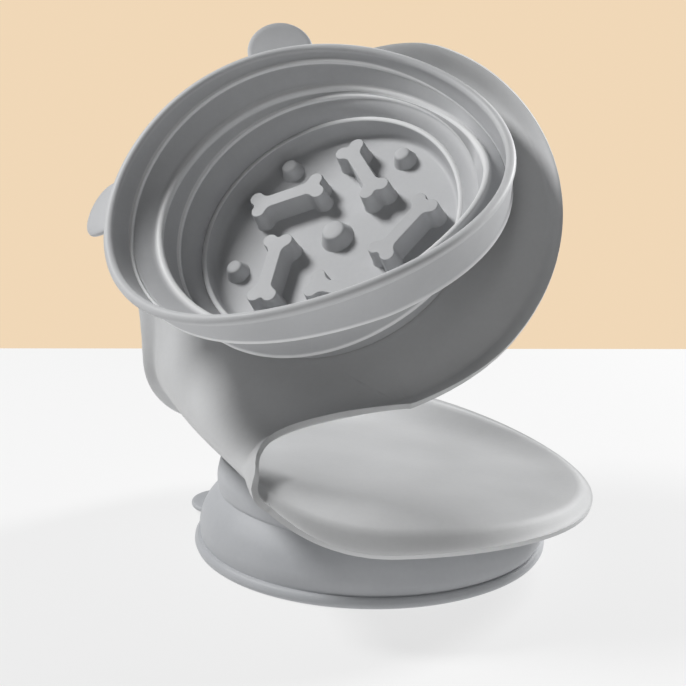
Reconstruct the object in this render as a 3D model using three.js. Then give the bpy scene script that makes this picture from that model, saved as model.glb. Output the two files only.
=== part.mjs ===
import * as THREE from 'three';

// Folding silicone feeding mat with two collapsible bowls, shown folded over at its waist.
// Lengths in millimetres, angles in degrees, +Z up, standing on the rim of the lower bowl.

// Mat
const SHEET = 3.0;           // thickness of the mat
const LOBE_R = 123.6;        // radius of each round lobe
const NECK = 64.4;           // lobe centre to the line where the waist starts
const WAIST_NEAR = 61.6;     // half width of the waist at its middle, near edge
const WAIST_FAR = 70.6;      // half width of the waist at its middle, far edge
const BEND_NEAR = 55.9;      // reach of the bend along the near edge
const BEND_FAR = 176.7;      // reach of the bend along the far edge
const LIP_W = 9.0;           // width of the turned-up edge
const LIP_H = 5.0;           // height of the turned-up edge
const FLEX_FROM = 85.0;      // radius where the lobes start to flex out of flat
const FLEX_OVER = 28.8;      // length the flex grows over
const FLEX_LOW = [5.0, -9.5, 2.7, -1.5];     // lower lobe: first and second wave round the edge
const FLEX_UP = [-5.6, 2.7, 3.2, -3.8];      // upper lobe
const FLEX_UP_FAR = 0.5;     // the upper lobe flexes this much less along its far side
const LINK_AT = [0.1, 0.37, 0.63, 0.9];      // shares of the bend where the waist's links meet
const LINK_GAP = 0.0028;     // share of the bend left open on each side of those places, in mid-width
const LINK_FAR = [0.016, 0.022, 0.024, 0.030];   // and how much wider it opens towards the far edge
const LINK_NEAR = 0.010;     // and towards the near edge
const FLAT_LENGTH = 218.0;   // lobe centre to lobe centre with the mat laid flat

// Where the two lobes are
const LOW_CENTRE = [-4.5, -8.3, 49.9];
const LOW_HEADING = 190.2;   // direction from the lower lobe's centre to the waist
const LOW_LEAN = 8.72;       // the lower lobe leans off level by this much
const LOW_LEAN_AXIS = 132.2; // compass direction of the line it leans about
const UP_CENTRE = [-19.4, 28.6, 159.5];
const UP_TILT = 46.05;       // the upper lobe's tilt off level
const UP_FACING = 239.9;     // compass direction the upper bowl looks to
const UP_TURN = 72.85;       // direction of the mat's length within the upper lobe

// Bowls: sizes of the folded-flat state, radius and height above the mat's mid-plane
const SEG = 48;
const FIT = 0.4;             // gap between neighbouring pieces
const FLOOR_T = 2.6;         // thickness of a bowl's floor
const BOWL_A = {
  ledgeR: 72.8, ledgeH: 16.5,                 // ledge round the floor
  flare: 6.8, edgeH: 30.6,                    // top edge of the dish: flare beyond the ledge, height
  step1: 3.6, base1: 13.2, out1: 4.6, up1: 8.2,     // first band: step outwards, foot height, flare, rise
  step2: 6.8, base2: 10.0, out2: 2.6, up2: 14.4,    // second band
  step3: 4.4, base3: 6.1, out3: 15.2, up3: 18.9,    // rim
  centre: [0, 0],                             // place on its lobe, along the mat and across it
  side: -6, axisR: 92, axisH: 12,             // pressed side, and the line the rings tilt about
  tilt: [6.45, 10.1, 16.0],                   // tilt of the two bands and the rim as shown
};
const BOWL_B = {
  ledgeR: 63.5, ledgeH: 14.4,
  flare: 5.3, edgeH: 25.8,
  step1: 3.2, base1: 12.8, out1: 3.2, up1: 6.4,
  step2: 5.4, base2: 10.2, out2: 2.6, up2: 10.8,
  step3: 4.0, base3: 7.5, out3: 13.6, up3: 11.5,
  centre: [-10.3, 10.2],
  side: 148, axisR: 191, axisH: 19,
  tilt: [3.4, 5.85, 8.72],
};
const BAND_T = 1.8;          // thickness of a wall band
const EAR_R = 18.0;          // radius of a pull tab
const EAR_AT = [42, 115];    // where the two tabs sit round each rim
const EAR_T = 2.4;           // thickness of a pull tab
const EAR_DROP = 1.2;        // how far it lies below the rim's edge

// Raised shapes on the upper bowl's floor; their places are shares of the ledge's radius, along the mat and across it
const BUMP_H = 12.5;
const BONE_L = 31.0;         // length of a bone, knob centres at one end to those at the other
const BONE_W = 7.4;          // width of its shaft
const BONE_KNOB = 4.9;       // radius of each of the four knobs
const BONES = [[0.022, 0.434, 136], [0.479, 0.012, 63],
  [0.174, -0.610, 173], [-0.549, 0.113, 26], [-0.360, -0.580, 120]];
const PEG_H = 11.0;
const PEGS = [[-0.063, -0.139, 8.6], [-0.652, 0.424, 6.4], [0.284, 0.632, 6.4], [0.784, -0.140, 6.4]];
const DRAFT = 1.3;           // how much wider a raised shape is at its foot

const rad = (d) => (d * Math.PI) / 180;
const V = (x, y, z) => new THREE.Vector3(x, y, z);
const smooth = (t) => { const c = Math.min(1, Math.max(0, t)); return c * c * (3 - 2 * c); };
const cubic = (t, p0, m0, p1, m1) => (2 * t ** 3 - 3 * t ** 2 + 1) * p0 + (t ** 3 - 2 * t ** 2 + t) * m0
  + (3 * t ** 2 - 2 * t ** 3) * p1 + (t ** 3 - t ** 2) * m1;

// Frames of the two lobes: first axis along the mat, second across it, third out of the bowl side
const leanAxis = V(Math.cos(rad(LOW_LEAN_AXIS)), Math.sin(rad(LOW_LEAN_AXIS)), 0);
const low = { c: V(...LOW_CENTRE), n: V(0, 0, -1), u: V(Math.cos(rad(LOW_HEADING)), Math.sin(rad(LOW_HEADING)), 0) };
low.w = low.n.clone().cross(low.u);
for (const k of ['u', 'w', 'n']) low[k].applyAxisAngle(leanAxis, rad(LOW_LEAN));
const slope = V(-Math.cos(rad(UP_TILT)) * Math.cos(rad(UP_FACING)),
  -Math.cos(rad(UP_TILT)) * Math.sin(rad(UP_FACING)), Math.sin(rad(UP_TILT)));
const level = V(-Math.sin(rad(UP_FACING)), Math.cos(rad(UP_FACING)), 0);
const up = { c: V(...UP_CENTRE), n: level.clone().cross(slope) };
up.u = level.clone().multiplyScalar(Math.cos(rad(UP_TURN))).addScaledVector(slope, Math.sin(rad(UP_TURN)));
up.w = up.n.clone().cross(up.u);
const place = (f) => new THREE.Matrix4().makeBasis(f.u, f.w, f.n).setPosition(f.c);
const seatOf = (b, f) => place(f).multiply(new THREE.Matrix4().makeTranslation(b.centre[0], b.centre[1], 0));

// Surfaces of the mat
const neckW = Math.sqrt(LOBE_R ** 2 - NECK ** 2);
function flex(x, y, k) {
  const r = Math.hypot(x, y), q = Math.atan2(y, x);
  const far = k === FLEX_UP ? 1 - FLEX_UP_FAR * smooth((y - 10) / 70) : 1;
  const g = (Math.max(0, r - FLEX_FROM) / FLEX_OVER) ** 2 * smooth((NECK - x) / 50) * far;
  return g * (k[0] * Math.cos(q) + k[1] * Math.sin(q) + k[2] * Math.cos(2 * q) + k[3] * Math.sin(2 * q));
}
// lobe point: x towards the waist, y across, h off the mid-plane
function lobePoint(f, s, k, x, y, h) {
  const lip = LIP_H * smooth(1 - (LOBE_R - Math.hypot(x, y)) / LIP_W);
  return f.c.clone().addScaledVector(f.u, s * x).addScaledVector(f.w, y).addScaledVector(f.n, flex(x, y, k) + lip + h);
}
// waist point: t along the bend from the lower lobe to the upper one, v across
function waistPoint(t, v) {
  const m = (BEND_NEAR + BEND_FAR) / 2 + ((BEND_FAR - BEND_NEAR) / 2) * v;
  const a = low.c.clone().addScaledVector(low.u, NECK).addScaledVector(low.w, v * neckW);
  const b = up.c.clone().addScaledVector(up.u, -NECK).addScaledVector(up.w, v * neckW);
  const q = (k) => cubic(t, a[k], m * low.u[k], b[k], m * up.u[k]);
  return V(q('x'), q('y'), q('z'));
}
function waistNormal(t, v) {
  const e = 1e-3;
  const dt = waistPoint(t + e, v).sub(waistPoint(t - e, v));
  const dv = waistPoint(t, v + e).sub(waistPoint(t, v - e));
  return dt.cross(dv).normalize();
}
// how far the waist reaches across at t, as a share of the neck's half width
function reach(t, middle, bend) {
  const q = (t <= 0.5 ? t : 1 - t) * 2;
  return cubic(q, neckW, (-NECK / neckW) * bend * 0.5, middle, 0) / neckW;
}
function sheetPoint(t, v, vEdge, h) {
  const lip = LIP_H * smooth(1 - ((vEdge - Math.abs(v)) * neckW) / LIP_W);
  return waistPoint(t, v).addScaledVector(waistNormal(t, v), lip + h);
}

// Solids
const group = new THREE.Group();
function solid(name, points, faces, color) {
  let vol = 0;
  for (const [a, b, c] of faces) vol += points[a].dot(points[b].clone().cross(points[c]));
  const g = new THREE.BufferGeometry();
  g.setAttribute('position', new THREE.Float32BufferAttribute(points.flatMap((p) => [p.x, p.y, p.z]), 3));
  g.setIndex(faces.flatMap(([a, b, c]) => (vol < 0 ? [a, c, b] : [a, b, c])));
  const m = new THREE.Mesh(g, new THREE.MeshStandardMaterial({ color, roughness: 0.75, metalness: 0 }));
  m.name = name;
  group.add(m);
  return m;
}
// quads between ring i and ring i+1 of n points each
function belt(faces, a, b, n) {
  for (let j = 0; j < n; j += 1) {
    const k = (j + 1) % n;
    faces.push([a + j, a + k, b + k], [a + j, b + k, b + j]);
  }
}
function lobe(name, f, s, k, color) {
  const edge = [];
  const cut = NECK - 0.7, half = Math.sqrt(LOBE_R ** 2 - cut ** 2), a0 = Math.atan2(half, cut);
  for (let j = 0; j < 14; j += 1) edge.push([cut, -half + (2 * half * j) / 14]);
  for (let j = 0; j < 46; j += 1) {
    const a = a0 + ((2 * Math.PI - 2 * a0) * j) / 46;
    edge.push([LOBE_R * Math.cos(a), LOBE_R * Math.sin(a)]);
  }
  const share = [0.35, 0.6, 0.74, 0.84, 0.925, 0.962, 1];
  const n = edge.length, pts = [], faces = [];
  for (const h of [-SHEET / 2, SHEET / 2]) {
    const start = pts.length;
    pts.push(lobePoint(f, s, k, 0, 0, h));
    for (const q of share) for (const [x, y] of edge) pts.push(lobePoint(f, s, k, q * x, q * y, h));
    const top = h > 0;
    for (let j = 0; j < n; j += 1) {
      const l = start + 1 + ((j + 1) % n);
      faces.push(top ? [start, start + 1 + j, l] : [start, l, start + 1 + j]);
    }
    for (let i = 0; i + 1 < share.length; i += 1) {
      const a = start + 1 + i * n;
      if (top) belt(faces, a + n, a, n);
      else belt(faces, a, a + n, n);
    }
  }
  const one = 1 + share.length * n, last = 1 + (share.length - 1) * n;
  belt(faces, last, one + last, n);
  return solid(name, pts, faces, color);
}
function strip(name, t0, t1, far0, far1, color) {
  const rows = Math.max(3, Math.round((t1 - t0) * 24)), cols = 15, pts = [], faces = [];
  const id = (i, j, s) => (s * rows + i) * cols + j;
  const across = (t) => {
    const vn = reach(t, WAIST_NEAR, BEND_NEAR), vf = reach(t, WAIST_FAR, BEND_FAR), d = LIP_W / neckW;
    const row = [-vn, -vn + d / 2, -vn + d];
    for (let j = 1; j < cols - 5; j += 1) row.push(-vn + d + ((vf + vn - 2 * d) * j) / (cols - 5));
    return [...row, vf - d, vf - d / 2, vf];
  };
  const open = (far, v) => (far === 0 ? 0 : far * smooth((v - 0.05) / 0.5) + LINK_NEAR * smooth((-0.15 - v) / 0.4));
  for (const h of [-SHEET / 2, SHEET / 2]) {
    for (let i = 0; i < rows; i += 1) {
      const q = i / (rows - 1);
      across(t0 + (t1 - t0) * q).forEach((v, j) => {
        const t = (t0 + open(far0, v)) * (1 - q) + (t1 - open(far1, v)) * q, row = across(t);
        pts.push(sheetPoint(t, row[j], row[j] < 0 ? -row[0] : row[cols - 1], h));
      });
    }
  }
  for (let i = 0; i + 1 < rows; i += 1) {
    for (let j = 0; j + 1 < cols; j += 1) {
      faces.push([id(i, j, 1), id(i + 1, j, 1), id(i + 1, j + 1, 1)], [id(i, j, 1), id(i + 1, j + 1, 1), id(i, j + 1, 1)]);
      faces.push([id(i, j, 0), id(i + 1, j + 1, 0), id(i + 1, j, 0)], [id(i, j, 0), id(i, j + 1, 0), id(i + 1, j + 1, 0)]);
    }
    for (const [j, flip] of [[0, false], [cols - 1, true]]) {
      const a = id(i, j, 0), b = id(i + 1, j, 0), c = id(i + 1, j, 1), d = id(i, j, 1);
      faces.push(...(flip ? [[a, c, b], [a, d, c]] : [[a, b, c], [a, c, d]]));
    }
  }
  for (let j = 0; j + 1 < cols; j += 1) {
    for (const [i, flip] of [[0, true], [rows - 1, false]]) {
      const a = id(i, j, 0), b = id(i, j + 1, 0), c = id(i, j + 1, 1), d = id(i, j, 1);
      faces.push(...(flip ? [[a, c, b], [a, d, c]] : [[a, b, c], [a, c, d]]));
    }
  }
  return solid(name, pts, faces, color);
}
// closed profile turned about the third axis; a profile that starts and ends on the axis closes there
function turned(name, profile, seg, matrix, color) {
  const pts = [], faces = [];
  const open = profile[0][0] === 0;
  const ring = open ? profile.slice(1, -1) : profile;
  for (const [r, h] of ring) {
    for (let j = 0; j < seg; j += 1) {
      const a = (2 * Math.PI * j) / seg;
      pts.push(V(r * Math.cos(a), r * Math.sin(a), h));
    }
  }
  const n = ring.length;
  for (let i = 0; i + 1 < n; i += 1) belt(faces, i * seg, (i + 1) * seg, seg);
  if (open) {
    const a = pts.push(V(0, 0, profile[0][1])) - 1, b = pts.push(V(0, 0, profile[profile.length - 1][1])) - 1;
    for (let j = 0; j < seg; j += 1) {
      const k = (j + 1) % seg;
      faces.push([a, k, j], [b, (n - 1) * seg + j, (n - 1) * seg + k]);
    }
  } else belt(faces, (n - 1) * seg, 0, seg);
  pts.forEach((p) => p.applyMatrix4(matrix));
  return solid(name, pts, faces, color);
}
// flat outline between two heights, narrower at the top when a second outline is given
function prism(name, foot, top, h0, h1, matrix, color) {
  const n = foot.length;
  const tri = THREE.ShapeUtils.triangulateShape(foot.map(([x, y]) => new THREE.Vector2(x, y)), []);
  const pts = [...foot.map(([x, y]) => V(x, y, h0)), ...top.map(([x, y]) => V(x, y, h1))];
  const faces = [];
  for (const [a, b, c] of tri) faces.push([c, b, a], [a + n, b + n, c + n]);
  belt(faces, 0, n, n);
  pts.forEach((p) => p.applyMatrix4(matrix));
  return solid(name, pts, faces, color);
}
function tiltMatrix(b, deg) {
  const s = rad(b.side), d = V(-Math.sin(s), Math.cos(s), 0);
  const p = V(b.axisR * Math.cos(s), b.axisR * Math.sin(s), b.axisH);
  return new THREE.Matrix4().makeTranslation(p.x, p.y, p.z)
    .multiply(new THREE.Matrix4().makeRotationAxis(d, rad(deg)))
    .multiply(new THREE.Matrix4().makeTranslation(-p.x, -p.y, -p.z));
}
// profiles of a bowl's pieces, each from the one inside it
const seat = SHEET / 2 + FIT;
const floorTop = seat + FLOOR_T;
const edgeR = (b) => b.ledgeR + b.flare;
function dishProfile(b) {
  const l = b.ledgeR, e = edgeR(b);
  return [[0, seat], [l - 1.8, seat], [l + 1.6, seat + 1.3], [l + 3, b.ledgeH - 3.5], [e + 1.4, b.edgeH - 1.4],
    [e + 0.7, b.edgeH], [e - 0.9, b.edgeH - 0.4], [l + 1, b.ledgeH + 1.1], [l, b.ledgeH], [l - 1.2, b.ledgeH - 1.3],
    [l - 2.2, floorTop + 2.7], [l - 4.4, floorTop + 0.3], [0, floorTop]];
}
const band1R = (b) => edgeR(b) + b.step1;
const band2R = (b) => band1R(b) + b.step2;
const rimFoot = (b) => band2R(b) + b.step3;
const rimR = (b) => rimFoot(b) + b.out3;
const rimTop = (b) => b.base3 + b.up3;
function rimProfile(b) {
  const f = rimFoot(b), r = rimR(b), h = rimTop(b);
  return [[f, b.base3 + 0.8], [f + 1.7, b.base3], [r - 4.4, h - 5], [r - 1.4, h - 4.8], [r, h - 2.8], [r - 0.6, h],
    [r - 3.8, h], [r - 5.4, h - 1.8], [r - 7, h - 4.8]];
}
function bandProfile(r0, h0, r1, h1) {
  const l = Math.hypot(r1 - r0, h1 - h0), x = (r1 - r0) / l, y = (h1 - h0) / l, t = BAND_T / 2;
  const at = (r, h, a, b) => [r + x * a - y * b, h + y * a + x * b];
  return [at(r0, h0, 0, -t), at(r1, h1, 0, -t), at(r1, h1, t, -t * 0.4), at(r1, h1, t, t * 0.4),
    at(r1, h1, 0, t), at(r0, h0, 0, t), at(r0, h0, -t, t * 0.4), at(r0, h0, -t, -t * 0.4)];
}
function earOutline(edge, deg) {
  const a = rad(deg), c = [edge - 2, 0], out = [];
  const inner = edge + FIT;
  const x = (c[0] ** 2 + inner ** 2 - EAR_R ** 2) / (2 * c[0]), y = Math.sqrt(inner ** 2 - x * x);
  const e = Math.atan2(y, x - c[0]), s = Math.atan2(y, x);
  for (let j = 0; j <= 16; j += 1) {
    const q = -e + (2 * e * j) / 16;
    out.push([c[0] + EAR_R * Math.cos(q), EAR_R * Math.sin(q)]);
  }
  for (let j = 1; j < 8; j += 1) {
    const q = s - (2 * s * j) / 8;
    out.push([inner * Math.cos(q), inner * Math.sin(q)]);
  }
  return out.map(([px, py]) => [px * Math.cos(a) - py * Math.sin(a), px * Math.sin(a) + py * Math.cos(a)]);
}
function boneOutline(grow, [cx, cy, deg]) {
  const w = BONE_W / 2 + grow, k = BONE_KNOB + grow, half = BONE_L / 2, off = BONE_KNOB * 0.92, out = [];
  const arc = (x, y, from, to) => {
    for (let j = 0; j <= 6; j += 1) {
      const q = rad(from + ((to - from) * j) / 6);
      out.push([x + k * Math.cos(q), y + k * Math.sin(q)]);
    }
  };
  const turn = 180 - (Math.asin(Math.min(1, Math.max(-1, (off - w) / k))) * 180) / Math.PI;
  const dip = (Math.asin(off / k > 1 ? 1 : off / k) * 180) / Math.PI;
  arc(half, -off, 180 + (180 - turn), 360 + dip * 0.9);
  arc(half, off, -dip * 0.9, turn - 0);
  arc(-half, off, 180 - turn, 180 + dip * 0.9);
  arc(-half, -off, 180 - dip * 0.9, 360 - (180 - turn));
  const a = rad(deg);
  return out.map(([x, y]) => [cx + x * Math.cos(a) - y * Math.sin(a), cy + x * Math.sin(a) + y * Math.cos(a)]);
}

// The mat: two lobes, a short neck on each and the waist between them in three links
const GREY = 0x9ea1a5;
lobe('mat_lower_lobe', low, 1, FLEX_LOW, GREY);
lobe('mat_upper_lobe', up, -1, FLEX_UP, GREY);
strip('mat_lower_neck', 0.003, LINK_AT[0] - LINK_GAP, 0, LINK_FAR[0], GREY);
for (let i = 0; i < 3; i += 1) {
  strip(`mat_waist_${i + 1}`, LINK_AT[i] + LINK_GAP, LINK_AT[i + 1] - LINK_GAP, LINK_FAR[i], LINK_FAR[i + 1], GREY);
}
strip('mat_upper_neck', LINK_AT[3] + LINK_GAP, 0.997, LINK_FAR[3], 0, GREY);

// The bowls
function bowl(tag, b, f) {
  const base = seatOf(b, f);
  const bands = [bandProfile(band1R(b), b.base1, band1R(b) + b.out1, b.base1 + b.up1),
    bandProfile(band2R(b), b.base2, band2R(b) + b.out2, b.base2 + b.up2)];
  turned(`bowl_${tag}_dish`, dishProfile(b), SEG, base, 0xa2a5a9);
  bands.forEach((band, i) => turned(`bowl_${tag}_band_${i + 1}`, band, SEG,
    base.clone().multiply(tiltMatrix(b, b.tilt[i])), 0xa6a9ad));
  const rimAt = base.clone().multiply(tiltMatrix(b, b.tilt[2]));
  turned(`bowl_${tag}_rim`, rimProfile(b), SEG, rimAt, 0xaaadb1);
  EAR_AT.forEach((deg, i) => {
    const o = earOutline(rimR(b), deg), h = rimTop(b) - EAR_DROP;
    prism(`bowl_${tag}_ear_${i + 1}`, o, o, h - EAR_T, h, rimAt, 0xaaadb1);
  });
}
bowl('a', BOWL_A, up);
bowl('b', BOWL_B, low);

// Raised shapes on the upper bowl's floor
const upAt = seatOf(BOWL_A, up);
const onFloor = ([x, y, q]) => [x * BOWL_A.ledgeR, y * BOWL_A.ledgeR, q];
BONES.map(onFloor).forEach((b, i) => prism(`bone_${i + 1}`, boneOutline(DRAFT, b), boneOutline(0, b),
  floorTop + FIT, floorTop + FIT + BUMP_H, upAt, 0xa2a5a9));
PEGS.map(onFloor).forEach(([x, y, r], i) => turned(`peg_${i + 1}`, [[0, 0], [r + DRAFT, 0], [r * 0.98, PEG_H * 0.86],
  [r * 0.8, PEG_H * 0.97], [r * 0.45, PEG_H], [0, PEG_H]], 18,
upAt.clone().multiply(new THREE.Matrix4().makeTranslation(x, y, floorTop + FIT)), 0xa2a5a9));

// Centre the part over the origin, standing on z = 0, and note its hinge lines
const box = new THREE.Box3();
group.children.forEach((m) => { m.geometry.computeBoundingBox(); box.union(m.geometry.boundingBox); });
const shift = V(-(box.min.x + box.max.x) / 2, -(box.min.y + box.max.y) / 2, -box.min.z);
group.children.forEach((m) => { m.geometry.translate(shift.x, shift.y, shift.z); m.geometry.computeVertexNormals(); });
const hinge = (b, f) => {
  const s = rad(b.side);
  const p = V(b.axisR * Math.cos(s), b.axisR * Math.sin(s), b.axisH).applyMatrix4(seatOf(b, f)).add(shift);
  return { at: p.toArray(), axis: V(Math.sin(s), -Math.cos(s), 0).transformDirection(place(f)).toArray(), tilt: b.tilt };
};
// The fold turns about one line: the turn that lays the upper lobe out flat beyond the lower one
const turn = new THREE.Quaternion().setFromRotationMatrix(place(up))
  .multiply(new THREE.Quaternion().setFromRotationMatrix(place(low)).invert());
const foldAngle = 2 * Math.acos(Math.min(1, Math.abs(turn.w)));
const foldAxis = V(turn.x, turn.y, turn.z).multiplyScalar(turn.w < 0 ? -1 : 1).normalize();
const flat = low.c.clone().addScaledVector(low.u, FLAT_LENGTH).applyAxisAngle(foldAxis, foldAngle);
const away = up.c.clone().sub(flat);
away.addScaledVector(foldAxis, -away.dot(foldAxis));
const foldAt = foldAxis.clone().cross(away).multiplyScalar(1 / Math.tan(foldAngle / 2)).add(away).multiplyScalar(0.5);
group.userData = {
  shift: shift.toArray(), low: place(low).toArray(), up: place(up).toArray(),
  rings: { a: hinge(BOWL_A, up), b: hinge(BOWL_B, low) },
  fold: { at: foldAt.add(shift).toArray(), axis: foldAxis.negate().toArray(), angle: (foldAngle * 180) / Math.PI },
};

export default group;
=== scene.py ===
import math

import bpy
from mathutils import Matrix, Vector


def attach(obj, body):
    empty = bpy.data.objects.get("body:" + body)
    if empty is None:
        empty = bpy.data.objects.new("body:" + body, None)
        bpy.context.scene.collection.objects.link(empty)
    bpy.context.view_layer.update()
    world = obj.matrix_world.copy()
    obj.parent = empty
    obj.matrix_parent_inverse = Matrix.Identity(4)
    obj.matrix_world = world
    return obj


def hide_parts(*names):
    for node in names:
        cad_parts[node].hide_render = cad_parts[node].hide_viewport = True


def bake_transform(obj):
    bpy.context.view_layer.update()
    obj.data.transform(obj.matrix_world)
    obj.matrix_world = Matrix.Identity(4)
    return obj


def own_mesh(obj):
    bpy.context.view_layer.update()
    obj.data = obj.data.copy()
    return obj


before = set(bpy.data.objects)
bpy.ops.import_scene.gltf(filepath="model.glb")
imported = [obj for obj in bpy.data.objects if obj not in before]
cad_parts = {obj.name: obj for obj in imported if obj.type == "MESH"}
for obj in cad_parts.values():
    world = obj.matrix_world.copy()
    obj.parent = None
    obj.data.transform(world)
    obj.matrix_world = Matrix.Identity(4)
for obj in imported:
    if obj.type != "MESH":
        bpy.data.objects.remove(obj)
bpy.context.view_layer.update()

# Sizes are in millimetres until a piece is finished; Blender works in metres
MM = 0.001
FULL_TURN = 2 * math.pi

# The mat: a peanut-shaped sheet folded at its waist
SHEET = 3.0
EDGE_ROUND = 1.25
LOBE_R = 123.6
NECK = 64.4                  # from a lobe's middle to where the waist begins
NECK_HALF = math.sqrt(LOBE_R ** 2 - NECK ** 2)
WAIST_NEAR = 72.0            # half widths of the waist at its narrowest
WAIST_FAR = 73.0
BEND_NEAR = 40.0             # pull of the bend at its near edge
BEND_FAR = 157.0             # and at its far edge
BEND_MID = 56.0              # more pull between the two edges
PULL_LOW = 0.16              # the far edge's pull grows by this share at the lower lobe
PULL_HIGH = -0.75            # and by this one at the upper lobe
LIP_W = 9.0                  # the turned-up edge
LIP_H = 5.0
CREASE = 0.5                 # height of the crease at the foot of the turned-up edge
CREASE_IN = 1.5              # how far inside that foot it runs
CREASE_W = 1.6
FLEX_FROM = 85.0             # distance from a lobe's middle at which its edge starts to bend
FLEX_OVER = 28.8
FLEX_RISE = 60.0             # how soon the free edge starts to bend beyond the waist
SLACK_FROM = 10.0            # where across a lobe the far side starts to bend less
SLACK_OVER = 70.0

# How finely the mat is divided
MAT_ARC = 150                # steps round a lobe's free edge
MAT_ACROSS = 48              # steps across its neck
MAT_ALONG = 44               # steps along the waist
MAT_RINGS = (1, 0.994, 0.987, 0.978, 0.967, 0.955, 0.942, 0.925, 0.9, 0.87, 0.84, 0.8,
             0.74, 0.66, 0.5, 0.3, 0.1)
SEAM_MERGE = 0.2             # the lobes and the waist are joined within this distance
EDGE_ANGLE = math.radians(50)
NUDGE = 1e-3                 # step used to find a slope, and to tell a seam

# Shared by both bowls
HOOP_STEPS = 200
WALL_T = 2.3
FOOT_OUT = 1.0               # the wall's foot, from the dish's ledge
FOOT_UP = 0.3
FLOOR_TOP = 4.5
SEAT = 1.9                   # the dish's underside, just clear of the mat

# The rounded edge of a rim
BEAD_R = 2.7
BEAD_TURNS = (165, 135, 105, 75, 45, 15, -15, -45)
BEAD_NECK_IN = BEAD_R * 0.9  # where the wall meets it inside
BEAD_NECK_DOWN = 0.8
BEAD_HEEL_OUT = BEAD_R * 0.35    # and outside
BEAD_HEEL_DOWN = BEAD_R * 1.3

# The dish's section, counted from its ledge
DISH_POLE = 3                # radius of the flat middle of the floor
DISH_FOOT_IN = 2.6
LEDGE_IN = 1.5
LEDGE_OUT = 1.6
LEDGE_UP = 0.8
# Painted highlight: share of a paler colour on the dish's ledge, for the light it catches
LEDGE_PALE = 0.7
LEDGE_PALE_UP = 0.3          # painted highlight on the ledge above this height
DISH_SIDE_OUT = 2.6
DISH_SIDE_DOWN = 2
DISH_ROUNDS = (3.4, 1.4, 1.4, 1.0, 1.0)

# Lines that run along a fold, in shares of their radius
LINE_TURNS = (-70, -35, 0, 35, 70)
LINE_SUNK = 0.2              # how much of it lies in the wall
LINE_RISES = 1.5
LINE_FALLS = 1.7
LINE_BEFORE = 1.6            # where the wall starts to be drawn up to it
LINE_AFTER = 2.2
LINE_CLEAR = 1               # and this much further, in millimetres
ROUND_STEPS = 4
ROUND_MOST = 0.45            # the most of a side that a round takes up
MITRE_MOST = 1.6             # the most that a sharp fold's outer side is drawn out

# Heights of the upper bowl's hoops change round it: stretched on the waist's side, pressed opposite
UPPER_LOW_R = 84.0
UPPER_LEDGE_R = 89.0
UPPER_HIGH_R = 98.5
STRETCHED_AT = math.radians(165)
STRETCHED_IN = 4.2           # how far the ledge is drawn in where the wall is stretched
BULGE_AT = math.radians(-70)
BULGE = 2.0                  # how far it comes out here
PRESSED_AT = math.radians(-45)
PRESSED_DEEPER = 4.5
PRESSED_FADE = 0.85
FOLD_LINE = 1.2
# Painted highlight share on the fold lines' outer side
BACK_LINE_PALE = 0.9
LEDGE_LINE = 2.0
LEDGE_LINE_GROOVE = 0.4
# Painted highlight share along the ledge line
LEDGE_LINE_PALE = 0.8
BACK_ROUND = 2.5             # the ledge's fold on the outer side

# The lower bowl stands on its rim, so its folds lie at shares of the way from the mat to the table
LOWER_RIM_R = 95.0
LOWER_MIDDLE = (-11.8, 10.2)
LOWER_FOLDS = ((83.7, 0.20), (84.7, 0.345), (83.7, 0.45), (82.0, 0.48), (86.5, 0.57),
               (90.0, 0.665), (91.4, 0.80), (89.6, 0.915))
LOWER_ROUND = 1.5
LOWER_BACK_ROUNDS = (2.0, 2.0, 1.5, 0.8, 3.0, 4.0, 3.0, 2.0)

# Pull tabs
EAR_R = 18.0
EAR_T = 2.6
EAR_STEPS = 72
EAR_SUNK = 2.0               # how far a tab's middle lies inside the rim's edge
EAR_BELOW = 0.6              # and below the middle of its bead
EAR_ROOT = -1.2              # where a tab starts, inside the rim's bead
EAR_ROOT_SLANT = 0.2
EAR_CURL = 1.5               # how late its tip lifts
EAR_EDGE = ((3.0, -1), (0.8, -1), (0.2, -0.7), (0, -0.25),
            (0, 0.25), (0.2, 0.7), (0.8, 1), (3.0, 1))    # inset and side, underside first
EARS = {"a": ((49.0, 6.0), (127.0, -7.0)),
        "b": ((36.0, 0.0), (109.0, 0.0))}                 # place round the rim, lift of the tip

# Raised shapes on the upper bowl's floor
DRAFT = 0.9
FOOT_FILLET = 0.8
FILLET_PART = FOOT_FILLET * 0.35    # what is left of the fillet a little higher up
BONE_H = 12.0
BONE_L = 35.0                # knob centres at one end to those at the other
BONE_SPREAD = 4.5            # half the distance between the knobs of one end
BONE_W = 7.8
BONE_KNOB = 4.1
BONE_FLARE = 5.0             # hollow between shaft and knob
BONE_DIP = 2.2               # hollow between the knobs of one end
KNOB_STEPS = 14
FLARE_STEPS = 6
DIP_STEPS = 4
BONE_ROWS = ((DRAFT + FOOT_FILLET, -0.3), (DRAFT + FILLET_PART, 0.35), (DRAFT, 1.1),
             (0.1, BONE_H - 0.6), (0.0, BONE_H - 0.25), (-0.15, BONE_H - 0.06),
             (-0.3, BONE_H), (-0.5, BONE_H))              # growth of the outline, height
BONES = ((5.2, 36.1, 136), (37.9, 6.2, 63), (16.4, -41.1, 175),
         (-36.9, 12.4, 26), (-29.7, -35.7, 103))          # place, turn
PEG_TAPER = 0.7              # a peg's top against its foot
PEG_STEPS = 56
PEGS = ((-0.3, -1.8, 9.0, 7.6), (-44.1, 37.4, 6.3, 6.8),
        (24.3, 53.8, 6.3, 6.8), (58.1, -5.0, 6.3, 6.8))   # place, radius, height

# Painted highlight: the paler colour put on fold lines, the ledge and the rim's bead in place of
# the light they catch; and the depth of the silicone's grain
HIGHLIGHT_PAINT_COLOUR = (0.92, 0.925, 0.93, 1)
GRAIN_DEPTH = 0.0004         # metres

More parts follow.
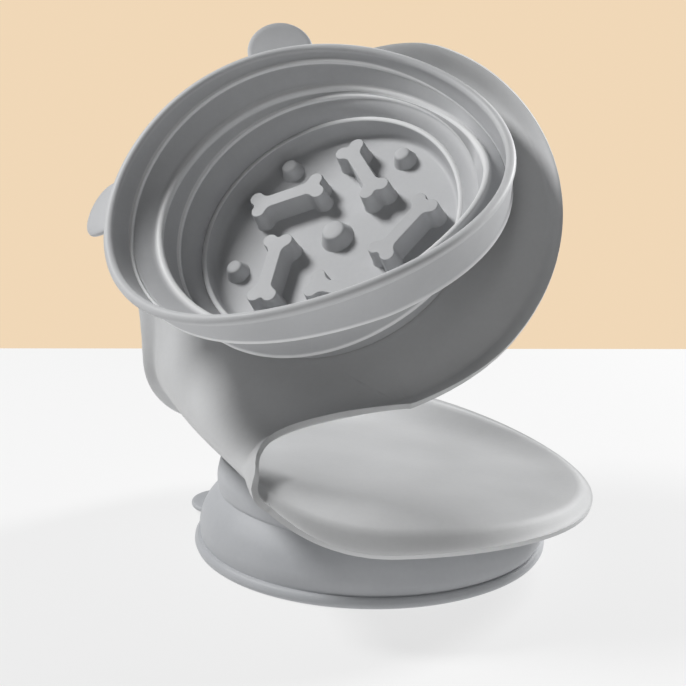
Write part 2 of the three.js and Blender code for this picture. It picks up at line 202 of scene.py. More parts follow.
# The stage, in metres from here on
TABLE_SIZE = (3.0, 1.6)
TABLE_FAR_EDGE = 420.0 * MM  # where the table ends behind the bowl
TABLE_TURN = 3.3             # degrees, so that its far edge looks level
TABLE_GREY = (0.62, 0.62, 0.62, 1)
TABLE_GLOW = (0.6, 0.72)     # self-lit share for the light in the room, and for the camera
WORLD_LIGHT = 0.05
BACKDROP = (0.875, 0.685, 0.475, 1)
LIGHTS = {                   # place, target, width, watts
    "key": ((-1.07, 0.21, 1.34), (0, 0.03, 0.17), 0.45, 22),
    "side_light": ((1.15, 0.80, 0.85), (0.05, -0.02, 0.05), 0.5, 26),
    "front_fill": ((0.45, -1.4, 0.35), (0, 0, 0.1), 0.8, 2.0),
}

# The photograph's camera
CAMERA_AT = Vector((0.62, -717.1, 293.1)) * MM
CAMERA_DOWN = 14.22          # degrees below level
CAMERA_ROLL = 0.887          # degrees, anticlockwise
CAMERA_LENS = 73.47          # millimetres, as the sensor is
CAMERA_SENSOR = 36


# Curves that the shapes are drawn with
def smooth(t):
    t = min(1.0, max(0.0, t))
    return t * t * (3 - 2 * t)


def ease_out(t):
    t = min(1.0, max(0.0, t))
    return t * (2 - t)


def cubic(t, p0, m0, p1, m1):
    return ((2 * t ** 3 - 3 * t ** 2 + 1) * p0 + (t ** 3 - 2 * t ** 2 + t) * m0
            + (3 * t ** 2 - 2 * t ** 3) * p1 + (t ** 3 - t ** 2) * m1)


def wave(mean, *swings):
    """A height that changes round a hoop: its mean, and each swing's cosine and sine share."""
    def height(angle):
        return mean + sum(c * math.cos(k * angle) + d * math.sin(k * angle)
                          for k, (c, d) in enumerate(swings, 1))
    return height


def side_share(angle, middle):
    """1 at the middle of one side of a hoop, fading to 0 a quarter turn away."""
    return max(0.0, math.cos(angle - middle)) ** 2


def arc(middle, radius, start, end, steps):
    """Points of an arc, its ends given as angles."""
    turns = [start + (end - start) * i / steps for i in range(steps + 1)]
    return [(middle[0] + radius * math.cos(q), middle[1] + radius * math.sin(q)) for q in turns]


# Modelling helpers
def deselect_all():
    if bpy.context.object and bpy.context.object.mode != "OBJECT":
        bpy.ops.object.mode_set(mode="OBJECT")
    bpy.ops.object.select_all(action="DESELECT")


def select_only(piece):
    deselect_all()
    piece.select_set(True)
    bpy.context.view_layer.objects.active = piece


def edit(mode="VERT"):
    bpy.ops.object.mode_set(mode="EDIT")
    bpy.ops.mesh.select_mode(type=mode)


def done():
    bpy.ops.object.mode_set(mode="OBJECT")


def pick(piece, test):
    """Selects the vertices that pass the test, and the edges and faces between them."""
    edit("VERT")
    bpy.ops.mesh.select_all(action="DESELECT")
    done()
    for v in piece.data.vertices:
        v.select = test(v.co)
    edit("VERT")


def tube(name, rows, corners):
    """A straight tube of level hoops one unit apart, ready to be set hoop by hoop."""
    deselect_all()
    bpy.ops.mesh.primitive_circle_add(vertices=corners, radius=1.0, fill_type="NOTHING")
    piece = bpy.context.object
    piece.name = piece.data.name = name
    edit("EDGE")
    bpy.ops.mesh.select_all(action="SELECT")
    for _ in range(rows - 1):
        bpy.ops.mesh.extrude_edges_move(TRANSFORM_OT_translate={"value": (0, 0, 1)})
    done()
    return piece


def close_ring(piece, rows):
    """Joins a tube's last hoop to its first."""
    pick(piece, lambda co: co.z < 0.5 or co.z > rows - 1.5)
    bpy.ops.mesh.select_mode(type="EDGE")
    bpy.ops.mesh.bridge_edge_loops()
    done()


def cap(piece, row):
    """Fills one end hoop of a tube."""
    pick(piece, lambda co: abs(co.z - row) < 0.5)
    bpy.ops.mesh.edge_face_add()
    done()


def hoop_and_corner(co, corners):
    """Which hoop of a new tube a vertex is on, and its number round that hoop."""
    step = FULL_TURN / corners
    return round(co.z), round(math.atan2(co.y, co.x) / step) % corners


def set_hoops(piece, corners, place):
    """Moves each vertex of a tube to place(row, corner), given in millimetres."""
    for v in piece.data.vertices:
        v.co = place(*hoop_and_corner(v.co, corners)) * MM


def mark_hoops(piece, corners, share):
    """Keeps a share of painted highlight at each vertex of a tube, which its finish turns into a
    paler colour.
    """
    marks = piece.data.attributes.new("painted_highlight", "FLOAT", "POINT")
    for v in piece.data.vertices:
        marks.data[v.index].value = share(*hoop_and_corner(v.co, corners))


def merge_mesh(piece, merge=0.01):
    """Merges doubles and turns all faces outwards."""
    select_only(piece)
    edit("VERT")
    bpy.ops.mesh.select_all(action="SELECT")
    bpy.ops.mesh.remove_doubles(threshold=merge * MM)
    bpy.ops.mesh.normals_make_consistent(inside=False)
    done()


def finish_with(piece, kind, **values):
    """Adds a modifier, sets it and applies it."""
    select_only(piece)
    modifier = piece.modifiers.new(kind.title(), kind)
    for key, value in values.items():
        setattr(modifier, key, value)
    bpy.ops.object.modifier_apply(modifier=modifier.name)


def soften(piece, angle=None):
    """Shades a piece smooth, up to an angle in degrees where one is given."""
    select_only(piece)
    if angle is None:
        bpy.ops.object.shade_smooth()
    else:
        bpy.ops.object.shade_smooth_by_angle(angle=math.radians(angle))


# Sections, drawn in a plane as (distance from the bowl's axis, height above the mat)
def paleness(point):
    """The painted highlight share at a point: its third number, if it has one."""
    return point[2] if len(point) > 2 else 0


def step_from(a, b, length):
    """The point this far from a towards b, never past the middle."""
    t = min(length / math.dist(a, b), ROUND_MOST)
    return (a[0] + (b[0] - a[0]) * t, a[1] + (b[1] - a[1]) * t)


def inward(a, b):
    """The unit vector square to a path, towards the bowl's hollow when the path runs up and out."""
    d = math.dist(a, b)
    return ((a[1] - b[1]) / d, (b[0] - a[0]) / d)


def mitre(before, corner, after):
    """The direction that halves a corner, and how far to go along it for each unit of offset."""
    n1, n2 = inward(before, corner), inward(corner, after)
    x, y = n1[0] + n2[0], n1[1] + n2[1]
    size = math.hypot(x, y) or 1.0
    return x / size, y / size, min(MITRE_MOST, 2 / size)


def shifted(path, distance):
    """The path moved square to itself."""
    out = []
    for i, p in enumerate(path):
        before, after = path[max(0, i - 1)], path[min(len(path) - 1, i + 1)]
        if i == 0 or i == len(path) - 1:
            x, y = inward(before, after)
            reach = 1.0
        else:
            x, y, reach = mitre(before, p, after)
        out.append((p[0] + x * distance * reach, p[1] + y * distance * reach))
    return out


def raised_line(before, corner, after, radius, groove, pale):
    """Rows of a half-round line along a fold, on the hollow's side or, with a negative radius,
    on the other, with a groove after it."""
    x, y, _ = mitre(before, corner, after)
    size, side = abs(radius), math.copysign(1, radius)
    rows = [step_from(corner, before, size * LINE_BEFORE + LINE_CLEAR),
            step_from(corner, before, size * LINE_RISES)]
    # The rows over the line's top carry its painted highlight share (pale), which the finish turns
    # paler
    for q in map(math.radians, LINE_TURNS):
        up, on = side * (math.cos(q) - LINE_SUNK), math.sin(q)
        rows.append((corner[0] + size * (x * up + y * on),
                     corner[1] + size * (y * up - x * on), pale))
    foot = step_from(corner, after, size * LINE_FALLS)
    rows += [(foot[0] - x * groove, foot[1] - y * groove),
             step_from(corner, after, size * LINE_AFTER + LINE_CLEAR)]
    return rows


def turned(before, corner, after, size):
    """Rows of a rounded corner."""
    back, on = step_from(corner, before, size), step_from(corner, after, size)
    rows = []
    for i in range(ROUND_STEPS + 1):
        t = i / ROUND_STEPS
        k0, k1, k2 = (1 - t) ** 2, 2 * t * (1 - t), t * t
        rows.append((k0 * back[0] + k1 * corner[0] + k2 * on[0],
                     k0 * back[1] + k1 * corner[1] + k2 * on[1]))
    return rows


def rounds(sizes):
    return [("round", size) for size in sizes]


def rounded(path, corners):
    """The path with its corners shaped: ("round", size) turns one, and
    ("line", radius, groove, pale) runs a line along it."""
    rows = [path[0]]
    for before, corner, after, (how, *sizes) in zip(path, path[1:], path[2:], corners):
        shape = raised_line if how == "line" else turned
        rows += shape(before, corner, after, *sizes)
    rows.append(path[-1])
    return rows


# The mat
def lip(inset):
    """Height of the turned-up edge at this distance from it, with a faint crease at its foot."""
    crease = CREASE * math.exp(-((inset - LIP_W - CREASE_IN) / CREASE_W) ** 2)
    return LIP_H * smooth(1 - inset / LIP_W) + crease


class Lobe:
    """A round half of the mat: its middle, the directions along the mat, across it and out of
    its bowl, how its free edge sways, and how much less the far side does."""

    def __init__(self, middle, along, across, out, waist_side, sway, slack_far):
        self.middle, self.along = Vector(middle), Vector(along)
        self.across, self.out = Vector(across), Vector(out)
        self.waist_side, self.sway, self.slack_far = waist_side, sway, slack_far

    def at(self, x, y, h):
        return self.middle + self.along * x + self.across * y + self.out * h

    def flex(self, x, y):
        """How far the free edge bends off the flat, x counted towards the waist."""
        r, turn = math.hypot(x, y), math.atan2(y, x)
        loose = 1 - self.slack_far * smooth((y - SLACK_FROM) / SLACK_OVER)
        grow = (max(0.0, r - FLEX_FROM) / FLEX_OVER) ** 2
        grow = grow * ease_out((NECK - x) / FLEX_RISE) * loose
        a, b, c, d = self.sway
        return grow * (a * math.cos(turn) + b * math.sin(turn)
                       + c * math.cos(2 * turn) + d * math.sin(2 * turn))

    def flex_slope(self, y):
        """How far the edge bends off the flat one millimetre before the waist begins."""
        return self.flex(NECK - 1, y)

    def sheet(self, x, y):
        height = self.flex(x, y) + lip(LOBE_R - math.hypot(x, y))
        return self.at(self.waist_side * x, y, height)


LOWER = Lobe(middle=(12.2213, -1.2046, 49.8808), along=(-0.97693, -0.17050, 0.12857),
             across=(-0.18162, 0.98008, -0.08034), out=(-0.11231, -0.10184, -0.98844),
             waist_side=1, sway=(5.0, -9.5, 2.7, -1.5), slack_far=0.0)
UPPER = Lobe(middle=(-2.6787, 35.6954, 159.4808), along=(0.58770, 0.42586, 0.68793),
             across=(-0.72405, 0.65627, 0.21229), out=(-0.36106, -0.62286, 0.69403),
             waist_side=-1, sway=(-5.6, 2.7, 3.2, -3.8), slack_far=0.5)


def waist_point(t, v, bent=True):
    """A point of the bend: t from the lower lobe to the upper one, v across it."""
    far = (v + 1) / 2
    pull = BEND_NEAR + (BEND_FAR - BEND_NEAR) * far + BEND_MID * (1 - v * v)
    y = v * NECK_HALF
    leave, arrive = LOWER.along.copy(), UPPER.along.copy()
    if bent:
        leave -= LOWER.out * LOWER.flex_slope(y)
        arrive += UPPER.out * UPPER.flex_slope(y)
    return cubic(t, LOWER.at(NECK, y, 0), leave * pull * (1 + PULL_LOW * far),
                 UPPER.at(-NECK, y, 0), arrive * pull * (1 + PULL_HIGH * far))


def waist_reach(t, far_side):
    """Half the waist's width at t, as a share of the neck's."""
    middle, bend = WAIST_NEAR, BEND_NEAR
    if far_side:
        middle, bend = WAIST_FAR, BEND_FAR * (1 + (PULL_LOW if t <= 0.5 else PULL_HIGH))
    narrowing = -NECK / NECK_HALF * bend * 0.5
    return cubic(2 * min(t, 1 - t), NECK_HALF, narrowing, middle, 0) / NECK_HALF


def waist_sheet(t, across):
    """A point of the waist's sheet, across from -1 at the near edge to 1 at the far one."""
    if t < NUDGE or t > 1 - NUDGE:
        return (LOWER if t < 0.5 else UPPER).sheet(NECK, across * NECK_HALF)
    far_side = across > 0
    edge = waist_reach(t, far_side)
    v = across * edge
    before, after = max(0, t - NUDGE), min(1, t + NUDGE)
    along = waist_point(t + NUDGE, v, False) - waist_point(t - NUDGE, v, False)
    sideways = waist_point(t, v + NUDGE, False) - waist_point(t, v - NUDGE, False)
    slope = (waist_reach(after, far_side) - waist_reach(before, far_side)) * NECK_HALF
    run = (waist_point(after, v, False) - waist_point(before, v, False)).length
    inset = (edge - abs(v)) * NECK_HALF * math.cos(math.atan2(slope, run))
    return waist_point(t, v) + along.cross(sideways).normalized() * lip(inset)


def across_share(i):
    """Steps across the neck, closer together where the lip rises."""
    return math.sin(math.pi / 2 * (2 * i / MAT_ACROSS - 1))


def lobe_outline():
    points = [(NECK, across_share(i) * NECK_HALF) for i in range(MAT_ACROSS + 1)]
    start = math.atan2(NECK_HALF, NECK)
    for i in range(1, MAT_ARC):
        turn = start + (FULL_TURN - 2 * start) * i / MAT_ARC
        points.append((LOBE_R * math.cos(turn), LOBE_R * math.sin(turn)))
    return points


def lobe_disc(name, lobe):
    outline, rows = lobe_outline(), len(MAT_RINGS)
    piece = tube(name, rows, len(outline))
    cap(piece, rows - 1)

    def place(row, corner):
        x, y = outline[corner]
        return lobe.sheet(MAT_RINGS[row] * x, MAT_RINGS[row] * y)
    set_hoops(piece, len(outline), place)
    return piece


def make_mat():
    lower, upper = lobe_disc("mat", LOWER), lobe_disc("mat_upper", UPPER)
    deselect_all()
    bpy.ops.mesh.primitive_grid_add(x_subdivisions=MAT_ALONG, y_subdivisions=MAT_ACROSS, size=2)
    waist = bpy.context.object
    for v in waist.data.vertices:
        column = round((v.co.y + 1) / 2 * MAT_ACROSS)
        v.co = waist_sheet((v.co.x + 1) / 2, across_share(column)) * MM
    deselect_all()
    for piece in (waist, upper, lower):
        piece.select_set(True)
    bpy.context.view_layer.objects.active = lower
    bpy.ops.object.join()
    joined = bpy.context.object
    merge_mesh(joined, merge=SEAM_MERGE)
    finish_with(joined, "SOLIDIFY", thickness=SHEET * MM, offset=0, use_even_offset=True)
    finish_with(joined, "BEVEL", width=EDGE_ROUND * MM, segments=3,
                limit_method="ANGLE", angle_limit=EDGE_ANGLE)
    soften(joined, angle=40)
    return joined


# The bowls
class Bowl:
    """A tiered bowl on one lobe. Its folds give the wall's section at an angle, from the dish
    to just below the rim, and the turns say how each fold is shaped inside and outside."""

    def __init__(self, tag, lobe, middle, ledge_r, ledge_h, folds, turns, back_turns,
                 rim_r, rim_h, rim_pale):
        self.tag, self.lobe, self.middle = tag, lobe, middle
        self.ledge_r, self.ledge_h = ledge_r, ledge_h
        self.folds, self.turns, self.back_turns = folds, turns, back_turns
        self.rim_r, self.rim_h, self.rim_pale = rim_r, rim_h, rim_pale

    def at(self, angle, r, h):
        x, y = self.middle
        return self.lobe.at(x + r * math.cos(angle), y + r * math.sin(angle), h)

    def section(self, angle):
        """The wall's closed outline at this angle: up the inside, over the rim's bead and down
        the outside."""
        x, h = self.rim_r - BEAD_R, self.rim_h(angle) - BEAD_R
        foot = (self.ledge_r + FOOT_OUT, self.ledge_h + FOOT_UP)
        inside = [foot, *self.folds(angle), (x - BEAD_NECK_IN, h - BEAD_NECK_DOWN)]
        outside = shifted(inside, -WALL_T)
        outside[-1] = (x + BEAD_HEEL_OUT, h - BEAD_HEEL_DOWN)
        # The bead's rows carry the rim's painted highlight share
        over = [(x + BEAD_R * math.cos(q), h + BEAD_R * math.sin(q), self.rim_pale)
                for q in map(math.radians, BEAD_TURNS)]
        back = rounded(outside, self.back_turns)
        return rounded(inside, self.turns(angle)) + over + back[::-1]

    def wall(self):
        angles = [FULL_TURN * i / HOOP_STEPS for i in range(HOOP_STEPS)]
        sections = [self.section(angle) for angle in angles]
        rows = len(sections[0])
        piece = tube(f"{self.tag}_wall", rows, HOOP_STEPS)
        close_ring(piece, rows)
        # Each row's painted highlight share is kept on the mesh for its finish
        mark_hoops(piece, HOOP_STEPS, lambda row, i: paleness(sections[i][row]))
        set_hoops(piece, HOOP_STEPS, lambda row, i: self.at(angles[i], *sections[i][row][:2]))
        merge_mesh(piece)
        soften(piece)
        return piece

    def dish(self):
        r, h = self.ledge_r, self.ledge_h
        path = [(DISH_POLE, FLOOR_TOP), (r - DISH_FOOT_IN, FLOOR_TOP),
                (r - LEDGE_IN, h + LEDGE_UP), (r + LEDGE_OUT, h + LEDGE_UP),
                (r + DISH_SIDE_OUT, h - DISH_SIDE_DOWN), (r + DISH_SIDE_OUT, SEAT),
                (DISH_POLE, SEAT)]
        profile = rounded(path, rounds(DISH_ROUNDS))
        piece = tube(f"{self.tag}_dish", len(profile), HOOP_STEPS)
        cap(piece, 0)
        cap(piece, len(profile) - 1)

        # Painted highlight on the ledge's top rows, standing in for the light the rounded ledge
        # catches
        def share_at(row, i):
            return LEDGE_PALE if profile[row][1] > h + LEDGE_PALE_UP else 0

        def place(row, i):
            return self.at(FULL_TURN * i / HOOP_STEPS, *profile[row])
        mark_hoops(piece, HOOP_STEPS, share_at)
        set_hoops(piece, HOOP_STEPS, place)
        merge_mesh(piece)
        soften(piece, angle=40)
        return piece

    def ear(self, name, degrees, lift):
        """A round tab that follows the rim, round along its edge."""
        piece = tube(name, len(EAR_EDGE), EAR_STEPS)
        cap(piece, 0)
        cap(piece, len(EAR_EDGE) - 1)

        def place(row, i):
            inset, side = EAR_EDGE[row]
            turn = FULL_TURN * i / EAR_STEPS
            out = (EAR_R - inset) * math.cos(turn)
            along = (EAR_R - inset) * math.sin(turn)
            out = max(out, EAR_ROOT + inset * EAR_ROOT_SLANT)
            angle = math.radians(degrees) + along / self.rim_r
            rise = lift * (max(0.0, out) / EAR_R) ** EAR_CURL
            h = self.rim_h(angle) - BEAD_R - EAR_BELOW + rise + side * EAR_T / 2
            return self.at(angle, self.rim_r - EAR_SUNK + out, h)
        set_hoops(piece, EAR_STEPS, place)
        merge_mesh(piece)
        soften(piece, angle=50)
        return piece


upper_low = wave(22.7, (-2.0, 3.5), (-2.5, 1.4))
upper_ledge = wave(36.6, (-15.9, -2.6), (-7.1, 3.7), (-0.4, 2.6))
upper_high = wave(41.9, (-18.6, 8.2), (-3.0, 8.0))
upper_rim = wave(58.5, (-26.8, 0.4), (-4.5, 9.6))


def upper_folds(angle):
    share_at = (1 + math.cos(angle - STRETCHED_AT)) / 2
    bulge = side_share(angle, BULGE_AT)
    ledge_r = UPPER_LEDGE_R - STRETCHED_IN * share_at ** 3 + BULGE * bulge
    high = upper_high(angle) - PRESSED_DEEPER * side_share(angle, PRESSED_AT)
    return [(UPPER_LOW_R, upper_low(angle)), (ledge_r, upper_ledge(angle)), (UPPER_HIGH_R, high)]


def upper_turns(angle):
    """The lines along the folds fade where the wall is pressed together, and so does their painted
    highlight.
    """
    slack = 1 - PRESSED_FADE * side_share(angle, PRESSED_AT)
    fold_line = ("line", FOLD_LINE * slack, 0.0, slack)
    return [fold_line, ("line", LEDGE_LINE, LEDGE_LINE_GROOVE, LEDGE_LINE_PALE), fold_line]


# The fold lines on the outer side carry a painted highlight, and so does the rim's bead (rim_pale)
back_line = ("line", -FOLD_LINE, 0.0, BACK_LINE_PALE)
upper_bowl = Bowl("upper_bowl", UPPER, middle=(0.0, 0.0), ledge_r=73.5, ledge_h=14.5,
                  folds=upper_folds, turns=upper_turns,
                  back_turns=[back_line, ("round", BACK_ROUND), back_line],
                  rim_r=107.5, rim_h=upper_rim, rim_pale=0.2)


def height_to_table(r, angle):
    x, y = LOWER_MIDDLE
    foot = LOWER.at(x + r * math.cos(angle), y + r * math.sin(angle), 0)
    return foot.z / -LOWER.out.z


def lower_folds(angle):
    return [(r, share * height_to_table(r, angle)) for r, share in LOWER_FOLDS]


lower_bowl = Bowl("lower_bowl", LOWER, middle=LOWER_MIDDLE, ledge_r=64.0, ledge_h=13.5,
                  folds=lower_folds, turns=lambda angle: rounds([LOWER_ROUND] * len(LOWER_FOLDS)),
                  back_turns=rounds(LOWER_BACK_ROUNDS), rim_r=LOWER_RIM_R,
                  rim_h=lambda angle: height_to_table(LOWER_RIM_R, angle), rim_pale=0.0)


# Raised shapes on the upper floor
def bone_outline(grow):
    """The bone's outline, grown outwards by this much: arcs that run into each other."""
    knob = (BONE_L / 2, BONE_SPREAD)
    rise = BONE_W / 2 + BONE_FLARE - knob[1]
    flare = (knob[0] - math.sqrt((BONE_FLARE + BONE_KNOB) ** 2 - rise ** 2), knob[1] + rise)
    dip = (knob[0] + math.sqrt((BONE_DIP + BONE_KNOB) ** 2 - knob[1] ** 2), 0.0)
    to_flare = math.atan2(rise, flare[0] - knob[0])
    to_dip = math.atan2(-knob[1], dip[0] - knob[0])
    quarter = arc(dip, BONE_DIP - grow, math.pi, to_dip + math.pi, DIP_STEPS)
    quarter += arc(knob, BONE_KNOB + grow, to_dip, to_flare, KNOB_STEPS)[1:]
    quarter += arc(flare, BONE_FLARE - grow, to_flare - math.pi, -math.pi / 2, FLARE_STEPS)[1:]
    half = quarter + [(-x, y) for x, y in reversed(quarter)]
    other_half = [(-x, -y) for x, y in quarter[1:]] + [(x, -y) for x, y in reversed(quarter[1:])]
    return half + other_half


def raised(name, outlines, heights, middle, degrees):
    """A shape on the floor from its outlines at several heights."""
    corners = len(outlines[0])
    piece = tube(name, len(outlines), corners)
    cap(piece, 0)
    cap(piece, len(outlines) - 1)
    turn = math.radians(degrees)
    cos, sin = math.cos(turn), math.sin(turn)

    def place(row, i):
        x, y = outlines[row][i]
        return UPPER.at(middle[0] + x * cos - y * sin, middle[1] + x * sin + y * cos,
                        FLOOR_TOP + heights[row])
    set_hoops(piece, corners, place)
    merge_mesh(piece)
    soften(piece, angle=35)
    return piece


def make_bone(name, x, y, degrees):
    grows, heights = zip(*BONE_ROWS)
    return raised(name, [bone_outline(grow) for grow in grows], heights, (x, y), degrees)


def make_peg(name, x, y, radius, height):
    top = radius * PEG_TAPER
    rows = ((radius + FOOT_FILLET, -0.3), (radius + FILLET_PART, 0.3), (radius, 0.9),
            (top + 0.3, height - 1.4), (top, height - 0.7), (top - 0.5, height - 0.2),
            (top - 1.2, height), (top * 0.4, height + 0.05))
    sizes, heights = zip(*rows)
    angles = [FULL_TURN * i / PEG_STEPS for i in range(PEG_STEPS)]
    outlines = [[(size * math.cos(q), size * math.sin(q)) for q in angles] for size in sizes]
    return raised(name, outlines, heights, (x, y), 0)


# Finishes
def node_group(name, inputs, outputs):
    group = bpy.data.node_groups.new(name, "ShaderNodeTree")
    sockets = group.interface
    for label, value in inputs:
        socket = sockets.new_socket(name=label, in_out="INPUT", socket_type="NodeSocketFloat")
        socket.default_value = value
    for label in outputs:
        sockets.new_socket(name=label, in_out="OUTPUT", socket_type="NodeSocketFloat")
    return group, group.nodes.new("NodeGroupInput"), group.nodes.new("NodeGroupOutput")


def add_node(tree, kind, values):
    """A new node with some of its inputs set."""
    node = tree.nodes.new(kind)
    set_inputs(node, values)
    return node


def set_inputs(node, values):
    for label, value in values.items():
        node.inputs[label].default_value = value


def noise(tree, place, scale, detail, roughness):
    node = add_node(tree, "ShaderNodeTexNoise", {"Detail": detail, "Roughness": roughness})
    tree.links.new(place.outputs["Object"], node.inputs["Vector"])
    tree.links.new(scale, node.inputs["Scale"])
    return node


def sum_of(tree, a, b, share):
    """The first value, and this share of the second."""
    node = tree.nodes.new("ShaderNodeMath")
    node.operation = "MULTIPLY_ADD"
    tree.links.new(b, node.inputs[0])
    node.inputs[1].default_value = share
    tree.links.new(a, node.inputs[2])
    return node


def skin_group():
    """Fine mould texture of silicone: a tight grain over a faint unevenness."""
    inputs = (("Grain Scale", 1500.0), ("Swell Scale", 90.0))
    group, given, out = node_group("silicone_skin", inputs, ("Height",))
    place = group.nodes.new("ShaderNodeTexCoord")
    grain = noise(group, place, given.outputs["Grain Scale"], detail=3.0, roughness=0.6)
    swell = noise(group, place, given.outputs["Swell Scale"], detail=2.0, roughness=0.5)
    total = sum_of(group, grain.outputs["Fac"], swell.outputs["Fac"], share=1.6)
    group.links.new(total.outputs[0], out.inputs["Height"])
    return group


def bloom_group():
    """Cloudy powder bloom, and the rubbed places between it."""
    inputs = (("Cloud Scale", 22.0), ("Speck Scale", 420.0))
    group, given, out = node_group("powder_bloom", inputs, ("Bloom", "Rub"))
    place = group.nodes.new("ShaderNodeTexCoord")
    cloud = noise(group, place, given.outputs["Cloud Scale"], detail=4.0, roughness=0.55)
    speck = noise(group, place, given.outputs["Speck Scale"], detail=2.0, roughness=0.5)
    total = sum_of(group, cloud.outputs["Fac"], speck.outputs["Fac"], share=0.25)
    ramp = add_node(group, "ShaderNodeMapRange", {"From Min": 0.42, "From Max": 0.82})
    group.links.new(total.outputs[0], ramp.inputs["Value"])
    group.links.new(ramp.outputs["Result"], out.inputs["Bloom"])
    group.links.new(cloud.outputs["Fac"], out.inputs["Rub"])
    return group


SKIN, BLOOM = skin_group(), bloom_group()


def place_group(tree, group):
    node = tree.nodes.new("ShaderNodeGroup")
    node.node_tree = group
    return node


def colour_mix(tree, share):
    node = tree.nodes.new("ShaderNodeMix")
    node.data_type = "RGBA"
    tree.links.new(share, node.inputs["Factor"])
    return node


def silicone(name, dark, pale, grain, bump, smooth_end, matte_end):
    """Matte moulded silicone between two close greys, with a painted highlight: paler where the
    mesh's highlight share is set.
    """
    material = bpy.data.materials.new(name)
    material.use_nodes = True
    tree = material.node_tree
    shader = tree.nodes["Principled BSDF"]
    skin, bloom = place_group(tree, SKIN), place_group(tree, BLOOM)
    set_inputs(skin, {"Grain Scale": grain})
    colour = colour_mix(tree, bloom.outputs["Bloom"])
    set_inputs(colour, {"A": (*dark, 1), "B": (*pale, 1)})
    # The painted highlight share read from the mesh mixes in a paler colour
    painted_highlight = tree.nodes.new("ShaderNodeAttribute")
    painted_highlight.attribute_name = "painted_highlight"
    highlighted = colour_mix(tree, painted_highlight.outputs["Fac"])
    set_inputs(highlighted, {"B": HIGHLIGHT_PAINT_COLOUR})
    tree.links.new(colour.outputs["Result"], highlighted.inputs["A"])
    tree.links.new(highlighted.outputs["Result"], shader.inputs["Base Color"])
    rough = add_node(tree, "ShaderNodeMapRange", {"From Min": 0.3, "From Max": 0.7,
                                                  "To Min": smooth_end, "To Max": matte_end})
    tree.links.new(bloom.outputs["Rub"], rough.inputs["Value"])
    tree.links.new(rough.outputs["Result"], shader.inputs["Roughness"])
    relief = add_node(tree, "ShaderNodeBump", {"Strength": bump, "Distance": GRAIN_DEPTH})
    tree.links.new(skin.outputs["Height"], relief.inputs["Height"])
    tree.links.new(relief.outputs["Normal"], shader.inputs["Normal"])
    set_inputs(shader, {"Specular IOR Level": 0.35, "Sheen Weight": 0.12, "Sheen Roughness": 0.5})
    return material


# The mat is the same silicone as the bowls; its greys are set paler than theirs as painted light,
# to brighten it where the lamps leave it dim
MAT_GREY = silicone("mat_silicone", dark=(0.575, 0.580, 0.585), pale=(0.625, 0.630, 0.635),
                    grain=1400, bump=0.10, smooth_end=0.50, matte_end=0.62)
UPPER_GREY = silicone("upper_bowl_silicone", dark=(0.505, 0.512, 0.524), pale=(0.555, 0.562, 0.574),
                      grain=1600, bump=0.08, smooth_end=0.46, matte_end=0.58)
LOWER_GREY = silicone("lower_bowl_silicone", dark=(0.470, 0.482, 0.502), pale=(0.520, 0.531, 0.550),
                      grain=1600, bump=0.08, smooth_end=0.46, matte_end=0.58)
BUMP_GREY = silicone("bump_silicone", dark=(0.510, 0.517, 0.528), pale=(0.560, 0.567, 0.578),
                     grain=1800, bump=0.08, smooth_end=0.46, matte_end=0.58)


def dress(piece, material, slot, nodes):
    piece.data.materials.clear()
    piece.data.materials.append(material)
    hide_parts(*nodes)


# Assembly
mat = make_mat()
dress(mat, MAT_GREY, "mat", [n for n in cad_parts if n.startswith("mat_")])
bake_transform(mat)

for bowl, short, body, slot, material in (
        (upper_bowl, "a", "upper", "bowl_upper", UPPER_GREY),
        (lower_bowl, "b", "lower", "bowl_lower", LOWER_GREY)):
    dish = bowl.dish()
    dress(dish, material, slot, [f"bowl_{short}_dish"])
    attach(dish, body)
    wall = bowl.wall()
    dress(wall, material, slot,
          [f"bowl_{short}_band_1", f"bowl_{short}_band_2", f"bowl_{short}_rim"])
    soft = [wall]
    for i, (degrees, lift) in enumerate(EARS[short], 1):
        ear = bowl.ear(f"{bowl.tag}_ear_{i}", degrees, lift)
        dress(ear, material, slot, [f"bowl_{short}_ear_{i}"])
        soft.append(ear)
    for piece in soft:
        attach(piece, body)
        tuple(bowl.lobe.out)
        bowl.lobe.at(0, 0, bowl.ledge_h) * MM
        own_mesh(piece)

bumps = [(make_bone(f"floor_bone_{i}", *spot), f"bone_{i}") for i, spot in enumerate(BONES, 1)]
bumps += [(make_peg(f"floor_peg_{i}", *spot), f"peg_{i}") for i, spot in enumerate(PEGS, 1)]
for piece, node in bumps:
    dress(piece, BUMP_GREY, "bumps", [node])
    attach(piece, "upper")


# Stage
def table_material():
    """White table top: the camera sees most of it self-lit, so that it stays white and keeps
    soft shadows."""
    material = bpy.data.materials.new("table_white")
    material.use_nodes = True
    tree = material.node_tree
    shader = tree.nodes["Principled BSDF"]
    set_inputs(shader, {"Base Color": TABLE_GREY, "Roughness": 0.6})
    glow = tree.nodes.new("ShaderNodeEmission")
    path = tree.nodes.new("ShaderNodeLightPath")
    share = add_node(tree, "ShaderNodeMapRange", {"To Min": TABLE_GLOW[0], "To Max": TABLE_GLOW[1]})
    choose = tree.nodes.new("ShaderNodeMixShader")
    tree.links.new(path.outputs["Is Camera Ray"], share.inputs["Value"])
    tree.links.new(share.outputs[0], choose.inputs["Fac"])
    tree.links.new(shader.outputs[0], choose.inputs[1])
    tree.links.new(glow.outputs[0], choose.inputs[2])
    tree.links.new(choose.outputs[0], tree.nodes["Material Output"].inputs["Surface"])
    return material


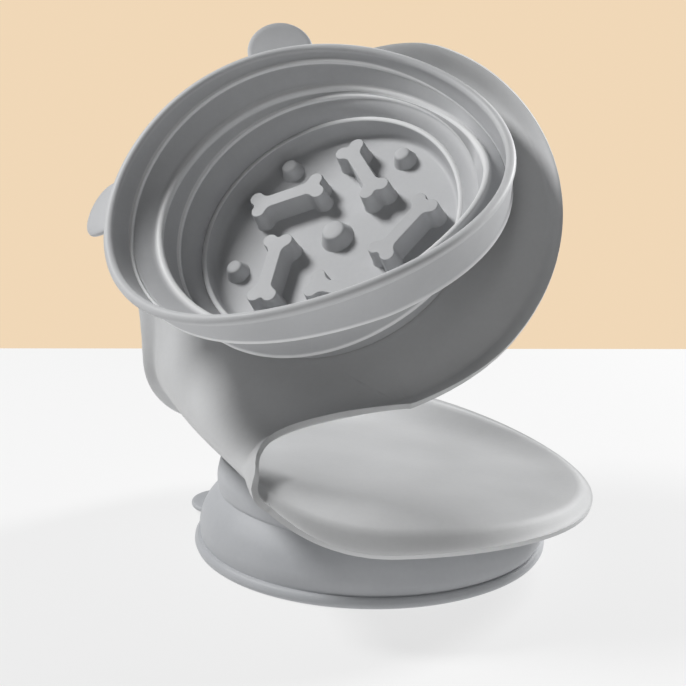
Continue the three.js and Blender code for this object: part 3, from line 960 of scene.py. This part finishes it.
def make_table():
    width, depth = TABLE_SIZE
    deselect_all()
    bpy.ops.mesh.primitive_plane_add(size=1)
    top = bpy.context.object
    top.name = "table"
    edit("VERT")
    bpy.ops.mesh.select_all(action="SELECT")
    bpy.ops.transform.resize(value=(width, depth, 1))
    bpy.ops.transform.translate(value=(0, -depth / 2, 0))
    bpy.ops.transform.rotate(value=-math.radians(TABLE_TURN), orient_axis="Z",
                             center_override=(0, 0, 0))
    bpy.ops.transform.translate(value=(0, TABLE_FAR_EDGE, 0))
    done()
    top.data.materials.append(table_material())
    return top


def area_light(name, place, target, width, watts):
    data = bpy.data.lights.new(name, "AREA")
    data.shape, data.size, data.energy = "DISK", width, watts
    light = bpy.data.objects.new(name, data)
    bpy.context.scene.collection.objects.link(light)
    light.location = place
    aim = Vector(target) - Vector(place)
    light.rotation_euler = aim.to_track_quat("-Z", "Y").to_euler()


def make_world():
    """A faint even light from all round. The camera sees a plain warm colour in its place."""
    world = bpy.data.worlds.new("studio")
    bpy.context.scene.world = world
    world.use_nodes = True
    tree = world.node_tree
    soft_light = tree.nodes["Background"]
    set_inputs(soft_light, {"Color": (1, 1, 1, 1), "Strength": WORLD_LIGHT})
    backdrop = add_node(tree, "ShaderNodeBackground", {"Color": BACKDROP, "Strength": 1.0})
    path = tree.nodes.new("ShaderNodeLightPath")
    choose = tree.nodes.new("ShaderNodeMixShader")
    tree.links.new(path.outputs["Is Camera Ray"], choose.inputs["Fac"])
    tree.links.new(soft_light.outputs[0], choose.inputs[1])
    tree.links.new(backdrop.outputs[0], choose.inputs[2])
    tree.links.new(choose.outputs[0], tree.nodes["World Output"].inputs["Surface"])


def make_camera():
    data = bpy.data.cameras.new("camera")
    data.sensor_width = CAMERA_SENSOR
    data.lens = CAMERA_LENS
    camera = bpy.data.objects.new("camera", data)
    bpy.context.scene.collection.objects.link(camera)
    camera.matrix_world = (Matrix.Translation(CAMERA_AT)
                           @ Matrix.Rotation(math.radians(90 - CAMERA_DOWN), 4, "X")
                           @ Matrix.Rotation(math.radians(CAMERA_ROLL), 4, "Z"))
    bpy.context.scene.camera = camera


table = make_table()
for name, setting in LIGHTS.items():
    area_light(name, *setting)
make_world()
make_camera()
bpy.context.scene.view_settings.view_transform = "Standard"
